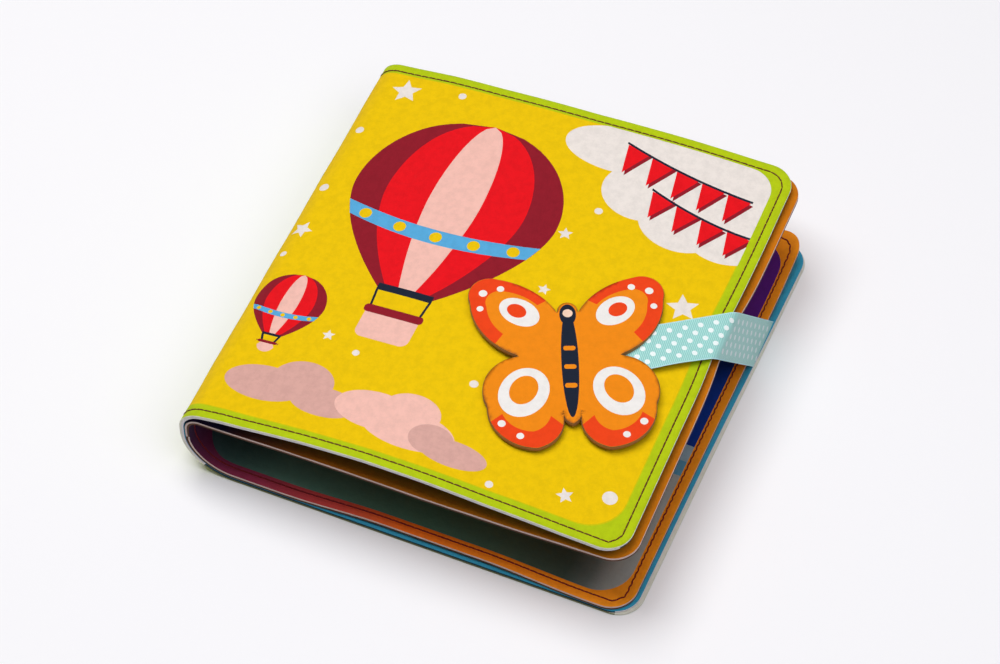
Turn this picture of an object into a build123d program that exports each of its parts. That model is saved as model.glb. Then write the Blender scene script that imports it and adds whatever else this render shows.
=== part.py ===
from build123d import *
from math import acos, cos, degrees, hypot, radians, sin, tan
import os

# A soft book of sewn felt, lying on its back cover with its strap closed.
# X runs from the spine (-) to the fore-edge (+), Y from the tail (-) to the head (+), Z up.
# The origin is the middle of the back cover's underside, and lengths are in millimetres.

# Covers: an outer and a lining sheet sewn together, bent once round the spine
sheet_thickness = 0.9
cover_height = 200.0
back_fore_edge_x = 90.8
front_fore_edge_x = 82.0
cover_corner_radius = 11.0

# The spine's section: a wide bend off the table, a short upright and a tighter bend into the front cover
foot_bend_x = -81.0
foot_bend_radius = 22.0
spine_upright = 4.0
shoulder_radius = 11.0
crown_angle = 98.9
crown_radius = 807.0

# The line across the spine's upright that the front cover folds back along, from the upright's foot
fold_height = 2.0
fold_gap = 0.3

# Inner pages: one folded sheet of two sewn felts that gives an upper and a lower leaf
leaf_thickness = 1.8
leaf_setback = 0.5
leaf_clearance = 0.2
leaf_upright = 3.0
leaf_fold_radius = 7.0
upper_leaf_slope = 2.1
lower_leaf_fore_edge_x = 88.0
upper_leaf_fore_edge_x = 85.0
leaf_corner_radius = 11.0

# Seams: thread sunk flush in the felt, a fixed distance inside the cut edge
thread_width = 0.7
thread_depth = 0.3
seam_inset = 3.7
seam_corner_cut = 5.0
binding_seam_setback = 4.5
binding_seam_height = 1.0

# Strap: a grosgrain ribbon sewn into the back cover's fore-edge, with a stiff felt tab on its end
ribbon_width = 20.0
ribbon_thickness = 0.35
ribbon_angle = 37.6
ribbon_exit_y = 45.5
ribbon_sewn_length = 8.5
ribbon_edge_clearance = 0.4
ribbon_edge_reach = 2.3
ribbon_edge_rise = 1.0
ribbon_bend_radius = 3.5
ribbon_rise_x = 56.0
ribbon_rise_radius = 60.0
ribbon_end_x = 21.0

# Hook and loop patches between the tab and the cover
loop_patch_length = 22.0
hook_patch_length = 18.0
loop_patch_width = 18.0
hook_patch_width = 16.0
loop_patch_thickness = 0.7
hook_patch_thickness = 0.8
patch_gap = 0.3
patch_x = 33.0
patch_corner_radius = 2.0

# Closure tab: a butterfly cut from stiff felt, with one half of its outline drawn as arcs through
# three points each, in shares of half its span, from the head round both wings to the tail
tab_thickness = 2.0
tab_span = 77.0
tab_x = 32.0
tab_y = -26.0
tab_turn = 24.0
wing_notch_radius = 1.5
wing_notch = (0.52, 0.013)
head_tip = (0.0, 0.70)
neck = (0.104, 0.56)
upper_wing_tip = (0.70, 1.04)
upper_wing_side = (1.0, 0.753)
lower_wing_side = (0.857, -0.571)
lower_wing_tip = (0.364, -1.104)
waist = (0.094, -0.65)
tail_tip = (0.0, -0.818)
half_butterfly = [
    (head_tip, (0.075, 0.662), neck),
    (neck, (0.351, 0.87), upper_wing_tip),
    (upper_wing_tip, (0.935, 1.0), upper_wing_side),
    (upper_wing_side, (0.857, 0.299), wing_notch),
    (wing_notch, (0.831, -0.169), lower_wing_side),
    (lower_wing_side, (0.688, -0.974), lower_wing_tip),
    (lower_wing_tip, (0.182, -1.0), waist),
    (waist, (0.062, -0.777), tail_tip),
]

# Derived places
cover_thickness = 2 * sheet_thickness
shoulder_x = foot_bend_x - foot_bend_radius + shoulder_radius
shoulder_z = foot_bend_radius + spine_upright
crown_x = shoulder_x + (shoulder_radius - crown_radius) * cos(radians(crown_angle))
crown_z = shoulder_z + (shoulder_radius - crown_radius) * sin(radians(crown_angle))
crown_end_angle = degrees(acos((front_fore_edge_x - crown_x) / crown_radius))
crown_top_z = crown_z + crown_radius
fold_z = foot_bend_radius + fold_height
spine_face_x = shoulder_x - shoulder_radius

leaf_height = cover_height - 2 * leaf_setback
leaf_bottom_z = cover_thickness + leaf_clearance
leaf_foot_radius = foot_bend_radius - leaf_bottom_z
leaf_fold_x = foot_bend_x - leaf_foot_radius + leaf_fold_radius
leaf_fold_z = foot_bend_radius + leaf_upright
binding_seam_length = leaf_height - 2 * binding_seam_setback

ribbon_bottom_x = back_fore_edge_x + ribbon_edge_clearance
ribbon_bottom_z = sheet_thickness + ribbon_thickness / 2
ribbon_bend_x = front_fore_edge_x + ribbon_edge_reach
ribbon_bend_z = crown_z + crown_radius * sin(radians(crown_end_angle)) + ribbon_edge_rise
ribbon_top_z = crown_top_z + loop_patch_thickness + patch_gap + hook_patch_thickness + ribbon_thickness / 2
side_run = hypot(ribbon_bottom_x - ribbon_bend_x, ribbon_bend_z - ribbon_bottom_z)
ribbon_slant = tan(radians(ribbon_angle))
ribbon_half_edge = ribbon_width / 2 / cos(radians(ribbon_angle))
ribbon_bend_y = ribbon_exit_y - side_run * ribbon_slant
tab_bottom_z = ribbon_top_z + ribbon_thickness / 2
room = cover_height


def on_circle(centre_x, centre_z, radius, angle):
    """A point of the section, on a circle about a centre."""
    return (centre_x + radius * cos(radians(angle)), centre_z + radius * sin(radians(angle)))


def ribbon_middle_y(x):
    """The ribbon's middle line on the front cover, which runs aslant to the fore-edge."""
    return ribbon_bend_y - (ribbon_bend_x - x) * ribbon_slant


def back_and_spine_edges(depth):
    """The back cover and spine in section at a depth under their outer face, up to the fold."""
    Line((back_fore_edge_x, depth), (foot_bend_x, depth))
    CenterArc((foot_bend_x, foot_bend_radius), foot_bend_radius - depth, 270, -90)
    Line((spine_face_x + depth, foot_bend_radius), (spine_face_x + depth, fold_z - fold_gap / 2))


def back_and_spine_section(depth, inner_depth):
    """A closed band between two depths of the back cover and spine."""
    end_z = fold_z - fold_gap / 2
    with BuildLine() as band:
        back_and_spine_edges(depth)
        back_and_spine_edges(inner_depth)
        Line((back_fore_edge_x, depth), (back_fore_edge_x, inner_depth))
        Line((spine_face_x + depth, end_z), (spine_face_x + inner_depth, end_z))
    return band.edges()


def front_edges(depth):
    """The front cover in section at a depth under its outer face, from the fold to the fore-edge."""
    Line((spine_face_x + depth, fold_z + fold_gap / 2), (spine_face_x + depth, shoulder_z))
    CenterArc((shoulder_x, shoulder_z), shoulder_radius - depth, 180, crown_angle - 180)
    CenterArc((crown_x, crown_z), crown_radius - depth, crown_angle, crown_end_angle - crown_angle)


def front_section(depth, inner_depth):
    """A closed band between two depths of the front cover."""
    start_z = fold_z + fold_gap / 2
    with BuildLine() as band:
        front_edges(depth)
        front_edges(inner_depth)
        Line((spine_face_x + depth, start_z), (spine_face_x + inner_depth, start_z))
        Line(
            on_circle(crown_x, crown_z, crown_radius - depth, crown_end_angle),
            on_circle(crown_x, crown_z, crown_radius - inner_depth, crown_end_angle),
        )
    return band.edges()


def leaf_end(depth):
    """The upper leaf's corner at the fore-edge, at a depth under the folded sheet's outer face."""
    start_x, start_z = on_circle(leaf_fold_x, leaf_fold_z, leaf_fold_radius, 90 + upper_leaf_slope)
    run = (upper_leaf_fore_edge_x - start_x) / cos(radians(upper_leaf_slope))
    slope = radians(upper_leaf_slope)
    return (
        start_x + run * cos(slope) + depth * sin(slope),
        start_z + run * sin(slope) - depth * cos(slope),
    )


def leaf_edges(depth):
    """The folded pages in section at a depth under their outer face."""
    fold_top = 90 + upper_leaf_slope
    Line((lower_leaf_fore_edge_x, leaf_bottom_z + depth), (foot_bend_x, leaf_bottom_z + depth))
    CenterArc((foot_bend_x, foot_bend_radius), leaf_foot_radius - depth, 270, -90)
    inside_x = foot_bend_x - leaf_foot_radius + depth
    Line((inside_x, foot_bend_radius), (inside_x, leaf_fold_z))
    CenterArc((leaf_fold_x, leaf_fold_z), leaf_fold_radius - depth, 180, fold_top - 180)
    Line(on_circle(leaf_fold_x, leaf_fold_z, leaf_fold_radius - depth, fold_top), leaf_end(depth))


def leaf_section(depth, inner_depth):
    """A closed band between two depths of the folded pages."""
    with BuildLine() as band:
        leaf_edges(depth)
        leaf_edges(inner_depth)
        Line(
            (lower_leaf_fore_edge_x, leaf_bottom_z + depth),
            (lower_leaf_fore_edge_x, leaf_bottom_z + inner_depth),
        )
        Line(leaf_end(depth), leaf_end(inner_depth))
    return band.edges()


def seam_outline(fore_edge_x, height):
    """A line of thread along the head, fore-edge and tail, cut across at the two corners."""
    side_y = height / 2 - seam_inset
    end_x = fore_edge_x - seam_inset
    with BuildLine() as outline:
        Polyline(
            (shoulder_x - room, side_y),
            (end_x - seam_corner_cut, side_y),
            (end_x, side_y - seam_corner_cut),
            (end_x, seam_corner_cut - side_y),
            (end_x - seam_corner_cut, -side_y),
            (shoulder_x - room, -side_y),
        )
    return outline.edges()


def on_tab(shares):
    """A point of the tab's outline, from its shares of half the span."""
    return (shares[0] * tab_span / 2, shares[1] * tab_span / 2)


def fore_edge_corners(part, count):
    """The short upright edges at the head and tail of the cut fore-edge faces."""
    ends = part.faces().sort_by(Axis.X)[-count:]
    return [edge for face in ends for edge in face.edges().sort_by(SortBy.LENGTH)[:2]]


# Ribbon: one band that leaves the back cover's edge, climbs the fore-edge and crosses the front cover
with BuildPart() as strap_ribbon:
    with BuildSketch(Plane.XZ):
        with BuildLine():
            FilletPolyline(
                (ribbon_bottom_x, ribbon_bottom_z),
                (ribbon_bend_x, ribbon_bend_z),
                (ribbon_rise_x, ribbon_top_z),
                (ribbon_end_x - ribbon_width, ribbon_top_z),
                radius=[ribbon_bend_radius, ribbon_rise_radius],
            )
        trace(line_width=ribbon_thickness)
    extrude(amount=room, both=True)
    across_x = ribbon_width / 2 * sin(radians(ribbon_angle))
    across_y = ribbon_width / 2 * cos(radians(ribbon_angle))
    end_y = ribbon_middle_y(ribbon_end_x)
    with BuildSketch(Plane.XY):
        Polygon(
            (ribbon_bottom_x + ribbon_thickness, ribbon_exit_y + ribbon_half_edge),
            (ribbon_bend_x, ribbon_bend_y + ribbon_half_edge),
            (ribbon_end_x - across_x, end_y + across_y),
            (ribbon_end_x + across_x, end_y - across_y),
            (ribbon_bend_x, ribbon_bend_y - ribbon_half_edge),
            (ribbon_bottom_x + ribbon_thickness, ribbon_exit_y - ribbon_half_edge),
            align=None,
        )
    extrude(amount=room, mode=Mode.INTERSECT)

# The ribbon's other end, sewn between the back cover's two sheets
with BuildPart() as ribbon_sewn_end:
    with BuildSketch(Plane.XY.offset(sheet_thickness)):
        sewn_x = back_fore_edge_x - ribbon_sewn_length
        shift = ribbon_sewn_length * ribbon_slant
        Polygon(
            (back_fore_edge_x, ribbon_exit_y + ribbon_half_edge),
            (sewn_x, ribbon_exit_y + ribbon_half_edge + shift),
            (sewn_x, ribbon_exit_y - ribbon_half_edge + shift),
            (back_fore_edge_x, ribbon_exit_y - ribbon_half_edge),
            align=None,
        )
    extrude(amount=ribbon_thickness)

# Back cover and spine: the seam, then the two sheets that it holds together
with BuildPart() as back_and_spine_seam:
    with BuildSketch(Plane.XZ):
        make_face(back_and_spine_section(0, thread_depth))
        make_face(back_and_spine_section(cover_thickness - thread_depth, cover_thickness))
    extrude(amount=room, both=True)
    with BuildSketch(Plane.XY):
        trace(seam_outline(back_fore_edge_x, cover_height), line_width=thread_width)
    extrude(amount=room, mode=Mode.INTERSECT)

# One row of thread holds the pages to the middle of the spine, through all the sheets
with BuildPart() as binding_seam:
    pages_face_x = leaf_fold_x - leaf_fold_radius + leaf_thickness
    for middle_x in (spine_face_x + thread_depth / 2, pages_face_x - thread_depth / 2):
        with BuildSketch(Plane.XY.offset(foot_bend_radius + binding_seam_height - thread_width / 2)):
            with Locations((middle_x, 0)):
                Rectangle(thread_depth, binding_seam_length)
        extrude(amount=thread_width)

with BuildPart() as back_and_spine_outer:
    with BuildSketch(Plane.XZ):
        make_face(back_and_spine_section(0, sheet_thickness))
    extrude(amount=cover_height / 2, both=True)
    fillet(fore_edge_corners(back_and_spine_outer, 1), cover_corner_radius)
    add(back_and_spine_seam.part, mode=Mode.SUBTRACT)
    add(binding_seam.part, mode=Mode.SUBTRACT)

with BuildPart() as back_and_spine_lining:
    with BuildSketch(Plane.XZ):
        make_face(back_and_spine_section(sheet_thickness, cover_thickness))
    extrude(amount=cover_height / 2, both=True)
    fillet(fore_edge_corners(back_and_spine_lining, 1), cover_corner_radius)
    add(back_and_spine_seam.part, mode=Mode.SUBTRACT)
    add(ribbon_sewn_end.part, mode=Mode.SUBTRACT)

# Front cover: the same two sheets past the fold, arched a little as the felt springs up
with BuildPart() as front_cover_seam:
    with BuildSketch(Plane.XZ):
        make_face(front_section(0, thread_depth))
        make_face(front_section(cover_thickness - thread_depth, cover_thickness))
    extrude(amount=room, both=True)
    with BuildSketch(Plane.XY):
        trace(seam_outline(front_fore_edge_x, cover_height), line_width=thread_width)
    extrude(amount=room, mode=Mode.INTERSECT)

with BuildPart() as front_cover_outer:
    with BuildSketch(Plane.XZ):
        make_face(front_section(0, sheet_thickness))
    extrude(amount=cover_height / 2, both=True)
    fillet(fore_edge_corners(front_cover_outer, 1), cover_corner_radius)
    add(front_cover_seam.part, mode=Mode.SUBTRACT)

with BuildPart() as front_cover_lining:
    with BuildSketch(Plane.XZ):
        make_face(front_section(sheet_thickness, cover_thickness))
    extrude(amount=cover_height / 2, both=True)
    fillet(fore_edge_corners(front_cover_lining, 1), cover_corner_radius)
    add(front_cover_seam.part, mode=Mode.SUBTRACT)

# Inner pages: the folded sheet hugs the spine, and its two leaves stand apart at the fore-edge
with BuildPart() as pages_seam:
    with BuildSketch(Plane.XZ):
        make_face(leaf_section(0, thread_depth))
        make_face(leaf_section(leaf_thickness - thread_depth, leaf_thickness))
    extrude(amount=room, both=True)
    with BuildSketch(Plane.XY):
        trace(seam_outline(lower_leaf_fore_edge_x, leaf_height), line_width=thread_width)
    extrude(amount=room, mode=Mode.INTERSECT)

with BuildPart() as inner_pages:
    with BuildSketch(Plane.XZ):
        make_face(leaf_section(0, leaf_thickness))
    extrude(amount=leaf_height / 2, both=True)
    fillet(fore_edge_corners(inner_pages, 2), leaf_corner_radius)
    add(pages_seam.part, mode=Mode.SUBTRACT)
    add(binding_seam.part, mode=Mode.SUBTRACT)

# Hook and loop: the loop patch follows the cover's arch, the hook patch lies flat under the ribbon
with BuildPart() as loop_patch:
    with BuildSketch(Plane.XZ):
        with BuildLine():
            top = crown_radius + loop_patch_thickness
            CenterArc((crown_x, crown_z), top, crown_angle, crown_end_angle - crown_angle)
            front_patch_edge = CenterArc(
                (crown_x, crown_z), crown_radius, crown_angle, crown_end_angle - crown_angle
            )
            Line(on_circle(crown_x, crown_z, top, crown_angle), front_patch_edge @ 0)
            Line(on_circle(crown_x, crown_z, top, crown_end_angle), front_patch_edge @ 1)
        make_face()
    extrude(amount=room, both=True)
    with BuildSketch(Plane.XY):
        with Locations(Location((patch_x, ribbon_middle_y(patch_x)), ribbon_angle)):
            RectangleRounded(loop_patch_length, loop_patch_width, patch_corner_radius)
    extrude(amount=room, mode=Mode.INTERSECT)

with BuildPart() as hook_patch:
    with BuildSketch(Plane.XY.offset(tab_bottom_z - ribbon_thickness - hook_patch_thickness)):
        with Locations(Location((patch_x, ribbon_middle_y(patch_x)), ribbon_angle)):
            RectangleRounded(hook_patch_length, hook_patch_width, patch_corner_radius)
    extrude(amount=hook_patch_thickness)

# Closure tab: half a butterfly, drawn as arcs from its head to its tail, then mirrored
with BuildPart() as closure_tab:
    along = (cos(radians(tab_turn)), sin(radians(tab_turn)), 0)
    with BuildSketch(Plane((tab_x, tab_y, tab_bottom_z), x_dir=along)) as butterfly:
        with BuildLine():
            for start, through, end in half_butterfly:
                ThreePointArc(on_tab(start), on_tab(through), on_tab(end))
            Line(on_tab(tail_tip), on_tab(head_tip))
        make_face()
        mirror(about=Plane.YZ)
        for side in (1, -1):
            notch_x, notch_y = on_tab(wing_notch)
            notch = butterfly.vertices().sort_by_distance((side * notch_x, notch_y))[0]
            fillet(notch, wing_notch_radius)
    extrude(amount=tab_thickness)

parts = {
    "front_cover_outer": front_cover_outer,
    "front_cover_lining": front_cover_lining,
    "front_cover_seam": front_cover_seam,
    "back_and_spine_outer": back_and_spine_outer,
    "back_and_spine_lining": back_and_spine_lining,
    "back_and_spine_seam": back_and_spine_seam,
    "inner_pages": inner_pages,
    "pages_seam": pages_seam,
    "binding_seam": binding_seam,
    "strap_ribbon": strap_ribbon,
    "ribbon_sewn_end": ribbon_sewn_end,
    "hook_patch": hook_patch,
    "loop_patch": loop_patch,
    "closure_tab": closure_tab,
}

os.makedirs("parts", exist_ok=True)
for name, builder in parts.items():
    builder.part.label = name
    export_step(builder.part, f"parts/{name}.step")
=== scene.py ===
import bpy
import math
import numpy as np
from mathutils import Matrix, Vector
from mathutils.geometry import delaunay_2d_cdt
from mathutils.kdtree import KDTree


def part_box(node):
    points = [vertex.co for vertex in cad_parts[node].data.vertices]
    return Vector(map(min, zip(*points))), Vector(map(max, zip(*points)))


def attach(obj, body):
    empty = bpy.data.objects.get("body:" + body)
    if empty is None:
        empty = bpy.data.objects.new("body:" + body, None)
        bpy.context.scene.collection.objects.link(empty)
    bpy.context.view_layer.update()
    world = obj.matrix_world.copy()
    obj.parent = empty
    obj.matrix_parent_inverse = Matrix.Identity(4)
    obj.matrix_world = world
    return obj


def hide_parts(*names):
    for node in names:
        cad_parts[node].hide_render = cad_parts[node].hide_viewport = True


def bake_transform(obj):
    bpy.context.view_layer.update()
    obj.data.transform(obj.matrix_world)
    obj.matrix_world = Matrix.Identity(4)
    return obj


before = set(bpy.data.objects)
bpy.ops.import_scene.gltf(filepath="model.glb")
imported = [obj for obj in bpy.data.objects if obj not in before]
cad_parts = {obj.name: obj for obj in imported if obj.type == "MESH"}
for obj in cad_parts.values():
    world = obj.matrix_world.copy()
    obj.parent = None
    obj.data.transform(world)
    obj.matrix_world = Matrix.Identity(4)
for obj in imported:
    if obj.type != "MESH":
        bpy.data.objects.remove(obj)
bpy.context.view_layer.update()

# Lengths are in millimetres up to the last step of each mesh, which makes them metres
metre = 0.001


def linearColour(code):
    values = [int(code[i:i + 2], 16) / 255 for i in (1, 3, 5)]
    return [v / 12.92 if v <= 0.04045 else ((v + 0.055) / 1.055) ** 2.4 for v in values] + [1.0]


def smooth(value, low, high):
    t = np.clip((value - low) / (high - low), 0, 1)
    return t * t * (3 - 2 * t)


# The cover's section, from the back cover's edge round the spine to the front cover's edge

cover = {
    "height": 200.0, "sheet": 0.9, "corner": 11.0,
    "backEdge": 90.8, "footX": -81.0, "footRadius": 22.0, "upright": 4.0,
    "shoulderRadius": 11.0, "crownAngle": 98.9, "crownRadius": 807.0, "frontEdge": 82.0,
    "foldHeight": 2.0,    # where the front cover turns, up the spine's upright
    "seamInset": 3.7, "seamCut": 3.8, "seamRound": 7.5, "pitch": 3.3,
    "lip": 0.3, "liningBack": 1.1,    # outer felt past the back cover's edge, and lining short of that
}
leaf = {
    "height": 199.0, "thickness": 1.8, "corner": 11.0, "bottom": 2.0,
    "lowerEdge": 88.0, "upperEdge": 86.1, "footRadius": 20.0, "upright": 3.0, "foldRadius": 7.0, "slope": 2.1,
    "seamDeeper": 3.0,    # how much further in the upper leaf's seam runs
    "border": 6.6,
}


def samplePath(pieces, step=0.2):
    points, headings = [], []
    for kind, *facts in pieces:
        if kind == "line":
            a, b = np.array(facts[0], float), np.array(facts[1], float)
            count = max(2, int(np.linalg.norm(b - a) / step))
            t = np.linspace(0, 1, count)[:, None]
            points.append(a + (b - a) * t)
            headings.append(np.tile((b - a) / np.linalg.norm(b - a), (count, 1)))
        else:
            (cx, cz), radius, start, end = facts
            count = max(3, int(abs(math.radians(end - start)) * radius / step))
            angle = np.radians(np.linspace(start, end, count))
            points.append(np.c_[cx + radius * np.cos(angle), cz + radius * np.sin(angle)])
            turn = np.sign(end - start)
            headings.append(np.c_[-np.sin(angle), np.cos(angle)] * turn)
    points, headings = np.vstack(points), np.vstack(headings)
    keep = np.r_[True, np.linalg.norm(np.diff(points, axis=0), axis=1) > 1e-6]
    points, headings = points[keep], headings[keep]
    run = np.r_[0, np.cumsum(np.linalg.norm(np.diff(points, axis=0), axis=1))]
    return {"run": run, "x": points[:, 0], "z": points[:, 1],
            "outX": -headings[:, 1], "outZ": headings[:, 0], "length": run[-1]}


def coverSection():
    c = cover
    shoulderX = c["footX"] - c["footRadius"] + c["shoulderRadius"]
    shoulderZ = c["footRadius"] + c["upright"]
    crown = math.radians(c["crownAngle"])
    reach = c["shoulderRadius"] - c["crownRadius"]
    crownCentre = (shoulderX + reach * math.cos(crown), shoulderZ + reach * math.sin(crown))
    endAngle = math.degrees(math.acos((c["frontEdge"] - crownCentre[0]) / c["crownRadius"]))
    spineX = c["footX"] - c["footRadius"]
    return samplePath([
        ("line", (c["backEdge"] + c["lip"], 0), (c["footX"], 0)),
        ("arc", (c["footX"], c["footRadius"]), c["footRadius"], 270, 180),
        ("line", (spineX, c["footRadius"]), (spineX, shoulderZ)),
        ("arc", (shoulderX, shoulderZ), c["shoulderRadius"], 180, c["crownAngle"]),
        ("arc", crownCentre, c["crownRadius"], c["crownAngle"], endAngle),
    ])


def leafSection():
    c = leaf
    foldX = cover["footX"] - c["footRadius"] + c["foldRadius"]
    foldZ = cover["footRadius"] + c["upright"]
    slope = math.radians(c["slope"])
    spineX = cover["footX"] - c["footRadius"]
    start = (foldX - c["foldRadius"] * math.sin(slope), foldZ + c["foldRadius"] * math.cos(slope))
    run = (c["upperEdge"] - start[0]) / math.cos(slope)
    return samplePath([
        ("line", (c["lowerEdge"], c["bottom"]), (cover["footX"], c["bottom"])),
        ("arc", (cover["footX"], cover["footRadius"]), c["footRadius"], 270, 180),
        ("line", (spineX, cover["footRadius"]), (spineX, foldZ)),
        ("arc", (foldX, foldZ), c["foldRadius"], 180, 90 + c["slope"]),
        ("line", start, (start[0] + run * math.cos(slope), start[1] + run * math.sin(slope))),
    ])


coverPath = coverSection()
leafPath = leafSection()
upright = coverPath["x"] < cover["footX"] - cover["footRadius"] + 0.1
foldRun = float(np.interp(cover["footRadius"] + cover["foldHeight"],
                          coverPath["z"][upright], coverPath["run"][upright]))
topRuns = coverPath["run"] > foldRun


def runOfX(x):
    return np.interp(x, coverPath["x"][topRuns], coverPath["run"][topRuns])


def onPath(path, run, y, out):
    x = np.interp(run, path["run"], path["x"])
    z = np.interp(run, path["run"], path["z"])
    nx = np.interp(run, path["run"], path["outX"])
    nz = np.interp(run, path["run"], path["outZ"])
    return np.c_[x + out * nx, y, z + out * nz]


# How the felt has settled in the photo, as shifts that are added to the even section

settled = {
    # Rise of the front cover at the tail and at the head, by x
    "tailX": [-100, -86, -76, -60, -50, -25, 0, 25, 57, 74, 83],
    "tailRise": [0, 0.9, 0.9, 1.5, 1.9, 2.0, 0.9, -1.0, -2.2, -2.2, -2.1],
    "headX": [-100, -86, -69, -47, -4, 38, 65, 79, 83],
    "headRise": [-0.2, -0.5, -0.2, -0.9, -1.0, 0.6, 1.4, 2.3, 2.5],
    # Waves along its fore-edge, as height, middle and width
    "edgeWaves": ((0.9, 37, 16), (-1.0, -15, 17)),
    # Its reach past the section, and the share that the strap holds back, with that place's middle and width
    "coverReach": 1.25, "heldBack": (0.8, 10, 20),
    # Slant of the back cover and the lower leaf in mm for each mm toward the head,
    # and what the head half adds
    "skew": 0.016, "headSkew": 0.008,
    # Lower leaf: curl of its head corner, lift of its fore-edge, and rise of its middle at the tail
    "cornerCurl": 8.0, "edgeLift": 1.8, "middleRise": 1.0,
    # Upper leaf: rise at the tail by x, twist, sag at the tail, rise and reach of its fore-edge,
    # and the notch
    # that the ribbon presses into that edge, as depth, middle and width
    "leafX": [-95, -60, -25, 0, 25, 58, 85],
    "leafTailRise": [0, -0.36, -1.36, -2.1, -1.9, -1.5, -1.4],
    "leafTwist": 4.4, "tailSag": 0.8, "edgeRise": 2.2, "headReach": 0.7, "leafNotch": (2.0, 14, 19),
}


def swell(value, middle, width):
    return np.exp(-((value - middle) / width) ** 2)


def skewBack(x, y):
    return (settled["skew"] * y + settled["headSkew"] * np.maximum(y, 0)) * smooth(x, -95, 40)


def skewFront(x, y):
    share, middle, width = settled["heldBack"]
    return settled["coverReach"] * smooth(x, -60, 82) * (1 - share * swell(y, middle, width))


def settleCover(run, y):
    x = np.interp(run, coverPath["run"], coverPath["x"])
    onTop = smooth(run, foldRun + 4, foldRun + 16)
    head = np.interp(x, settled["headX"], settled["headRise"]) * np.clip(y / 100, 0, 1.02) ** 1.4
    tail = np.interp(x, settled["tailX"], settled["tailRise"]) * np.clip(-y / 100, 0, 1.02) ** 1.4
    wave = sum(height * swell(y, middle, width) for height, middle, width in settled["edgeWaves"])
    rise = onTop * (head + tail + wave * smooth(x, 52, 84))
    return np.c_[np.where(run < foldRun, skewBack(x, y), skewFront(x, y)), np.zeros(len(x)), rise]


def settleLeaf(run, y):
    s = settled
    x = np.interp(run, leafPath["run"], leafPath["x"])
    half = leafPath["length"] / 2
    lower = run < half
    headShare, tailShare = np.clip(y / 100, 0, 1), np.clip(-y / 100, 0, 1)
    atEdge = smooth(x, 40, 84)
    middle = smooth(x, -60, -15) * (1 - smooth(x, 25, 72))
    curl = s["cornerCurl"] * np.clip((x - 46) / 40, 0, 1) ** 2 * np.clip((y - 48) / 52, 0, 1) ** 2
    lift = s["edgeLift"] * smooth(y, -5, 55) * np.clip((x - 62) / 26, 0, 1) ** 1.5
    lowerRise = curl + lift + s["middleRise"] * middle * tailShare ** 6
    sag = s["tailSag"] * np.sin((x + 90) / 38) * tailShare ** 2 * smooth(run, half + 12, half + 60)
    tailRise = np.interp(x, s["leafX"], s["leafTailRise"]) * tailShare
    headRise = s["leafTwist"] * headShare * smooth(run, half + 12, half + 190)
    edgeRise = (s["edgeRise"] - 1.2 * headShare - s["edgeRise"] * tailShare) * atEdge
    upperRise = tailRise + headRise + sag * (1 - smooth(x, 20, 60)) + edgeRise
    depth, notchMiddle, notchWidth = s["leafNotch"]
    upperReach = s["headReach"] * headShare - depth * swell(y, notchMiddle, notchWidth) * atEdge
    along = np.where(lower, (1.3 * middle - 0.4) * tailShare ** 3, 0)
    return np.c_[np.where(lower, skewBack(x, y), upperReach), along, np.where(lower, lowerRise, upperRise)]


# Flat outlines and simple shapes

def cornerPoints(low, high, radius, inset):
    (x0, y0), (x1, y1) = low, high
    turned = np.radians(np.linspace(0, 90, 13))
    corners = []
    for cx, cy, start in ((x1 - radius, y0 + radius, 270), (x1 - radius, y1 - radius, 0),
                          (x0 + radius, y1 - radius, 90), (x0 + radius, y0 + radius, 180)):
        angle = math.radians(start) + turned
        corners.append(np.c_[cx + (radius - inset) * np.cos(angle), cy + (radius - inset) * np.sin(angle)])
    return np.vstack(corners)


def roundedRectangle(low, high, radius, step=1.5, inset=0.0):
    return resample(cornerPoints(low, high, radius, inset), step, cornerPoints(low, high, radius, 0.0))


def resample(points, step, like=None):
    points = np.array(points, float)
    like = points if like is None else like
    lengths = np.linalg.norm(np.roll(like, -1, axis=0) - like, axis=1)
    out = []
    for a, b, length in zip(points, np.roll(points, -1, axis=0), lengths):
        if length < 1e-9:
            continue
        count = max(1, int(math.ceil(length / step)))
        out.extend(a + (b - a) * (i / count) for i in range(count))
    return np.array(out)


def ellipse(cx, cy, rx, ry, turn=0.0, count=40):
    t = np.linspace(0, 2 * math.pi, count, endpoint=False)
    c, s = math.cos(math.radians(turn)), math.sin(math.radians(turn))
    return np.c_[cx + rx * np.cos(t) * c - ry * np.sin(t) * s, cy + rx * np.cos(t) * s + ry * np.sin(t) * c]


def star(cx, cy, radius, turn=0.0, waist=0.46):
    angles = math.radians(turn) + math.pi / 2 + np.arange(10) * math.pi / 5
    radii = np.where(np.arange(10) % 2 == 0, radius, radius * waist)
    return np.c_[cx + radii * np.cos(angles), cy + radii * np.sin(angles)]


def inside(points, polygon):
    low, high = polygon.min(0), polygon.max(0)
    result = np.zeros(len(points), bool)
    near = np.all((points >= low) & (points <= high), axis=1)
    p = points[near]
    if not len(p):
        return result
    count = np.zeros(len(p), int)
    for a, b in zip(polygon, np.roll(polygon, -1, axis=0)):
        if a[1] == b[1]:
            continue
        crosses = (a[1] > p[:, 1]) != (b[1] > p[:, 1])
        at = a[0] + (p[:, 1] - a[1]) / (b[1] - a[1]) * (b[0] - a[0])
        count += crosses & (p[:, 0] < at)
    result[near] = count % 2 == 1
    return result


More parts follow.
